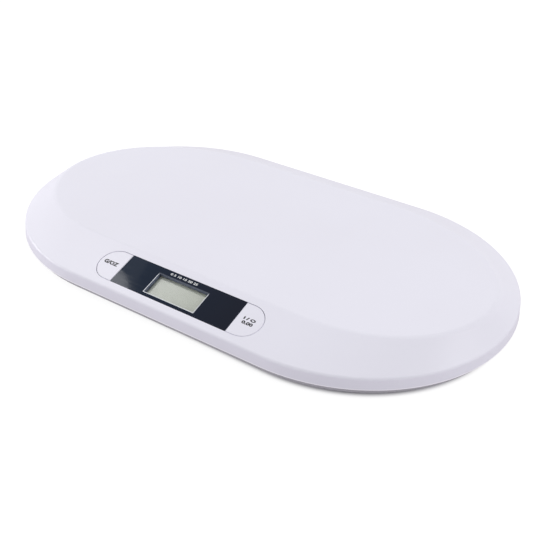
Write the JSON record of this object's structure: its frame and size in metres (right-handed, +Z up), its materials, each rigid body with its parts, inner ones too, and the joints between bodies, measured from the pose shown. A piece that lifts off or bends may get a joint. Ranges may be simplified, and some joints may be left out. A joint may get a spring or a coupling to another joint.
{
  "type": "digital baby weighing scale",
  "caption": "Low white weighing scale with a long rounded platform for a baby, a sloping front panel with a number display and press keys, load cells in its feet and a battery bay underneath.",
  "frame": {"origin": "on the floor under the middle of the case", "axes": "+X along the case towards the power button, -Y towards the display side, +Z up"},
  "size_m": [0.55, 0.33, 0.038],
  "materials": {
    "white_shell": "glossy white moulded plastic",
    "base_plastic": "fine-textured white plastic",
    "black_panel": "glossy blue-black acrylic",
    "clear_lens": "clear acrylic window",
    "lcd_glass": "liquid crystal glass with a grey-green reflector behind it",
    "black_plastic": "black moulded plastic",
    "black_rubber": "conductive rubber strip",
    "board_green": "circuit board with green solder mask",
    "natural_plastic": "undyed nylon",
    "steel": "zinc-plated steel",
    "nickel_plate": "nickel-plated spring steel",
    "cell_jacket": "plain plastic sleeve on a steel can",
    "cell_steel": "stamped steel",
    "gauge_sealant": "white sealing compound",
    "bracket_plastic": "white glass-filled plastic",
    "foot_plastic": "white moulded plastic",
    "pad_rubber": "dark grey non-slip rubber",
    "wire_sheath": "soft wire insulation"
  },
  "bodies": {
    "case": {"base_shell": "base_plastic", "battery_1": "cell_jacket", "battery_2": "cell_jacket", "battery_3": "cell_jacket", "battery_4": "cell_jacket", "battery_leads": "wire_sheath", "board_components": "black_plastic", "board_screws": "steel", "bracket_screws": "steel", "case_screws": "steel", "contact_plates": "nickel_plate", "contact_springs": "nickel_plate", "display_bezel": "black_panel", "display_lens": "clear_lens", "foot_back_left": "foot_plastic", "foot_back_right": "foot_plastic", "foot_front_left": "foot_plastic", "foot_front_right": "foot_plastic", "foot_pad_back_left": "pad_rubber", "foot_pad_back_right": "pad_rubber", "foot_pad_front_left": "pad_rubber", "foot_pad_front_right": "pad_rubber", "lcd_connector_strips": "black_rubber", "lcd_frame": "black_plastic", "lcd_glass": "lcd_glass", "load_cell_back_left": "cell_steel", "load_cell_back_right": "cell_steel", "load_cell_bracket_back_left": "bracket_plastic", "load_cell_bracket_back_right": "bracket_plastic", "load_cell_bracket_front_left": "bracket_plastic", "load_cell_bracket_front_right": "bracket_plastic", "load_cell_front_left": "cell_steel", "load_cell_front_right": "cell_steel", "main_board": "board_green", "power_switch": "black_plastic", "sensor_wire_back_left": "wire_sheath", "sensor_wire_back_right": "wire_sheath", "sensor_wire_front_left": "wire_sheath", "sensor_wire_front_right": "wire_sheath", "strain_gauges": "gauge_sealant", "top_cover": "white_shell", "unit_switch": "black_plastic", "wire_sockets": "natural_plastic"},
    "unit_key": {"unit_button": "white_shell", "unit_switch_plunger": "natural_plastic"},
    "power_key": {"power_button": "white_shell", "power_switch_plunger": "natural_plastic"},
    "door": {"battery_door": "base_plastic"}
  },
  "joints": [
    {"name": "unit_button_press", "type": "slide", "parent": "case", "child": "unit_key", "axis": [0, 0.2916, -0.9565], "range_m": [0, 0.0008], "stiffness_N_per_m": 2000},
    {"name": "power_button_press", "type": "slide", "parent": "case", "child": "power_key", "axis": [0, 0.2916, -0.9565], "range_m": [0, 0.0008], "stiffness_N_per_m": 2000},
    {"name": "battery_door_open", "type": "hinge", "parent": "case", "child": "door", "pos_m": [0, 0.0558, 0.003], "axis": [1, 0, 0], "range_deg": [0, 80]}
  ]
}
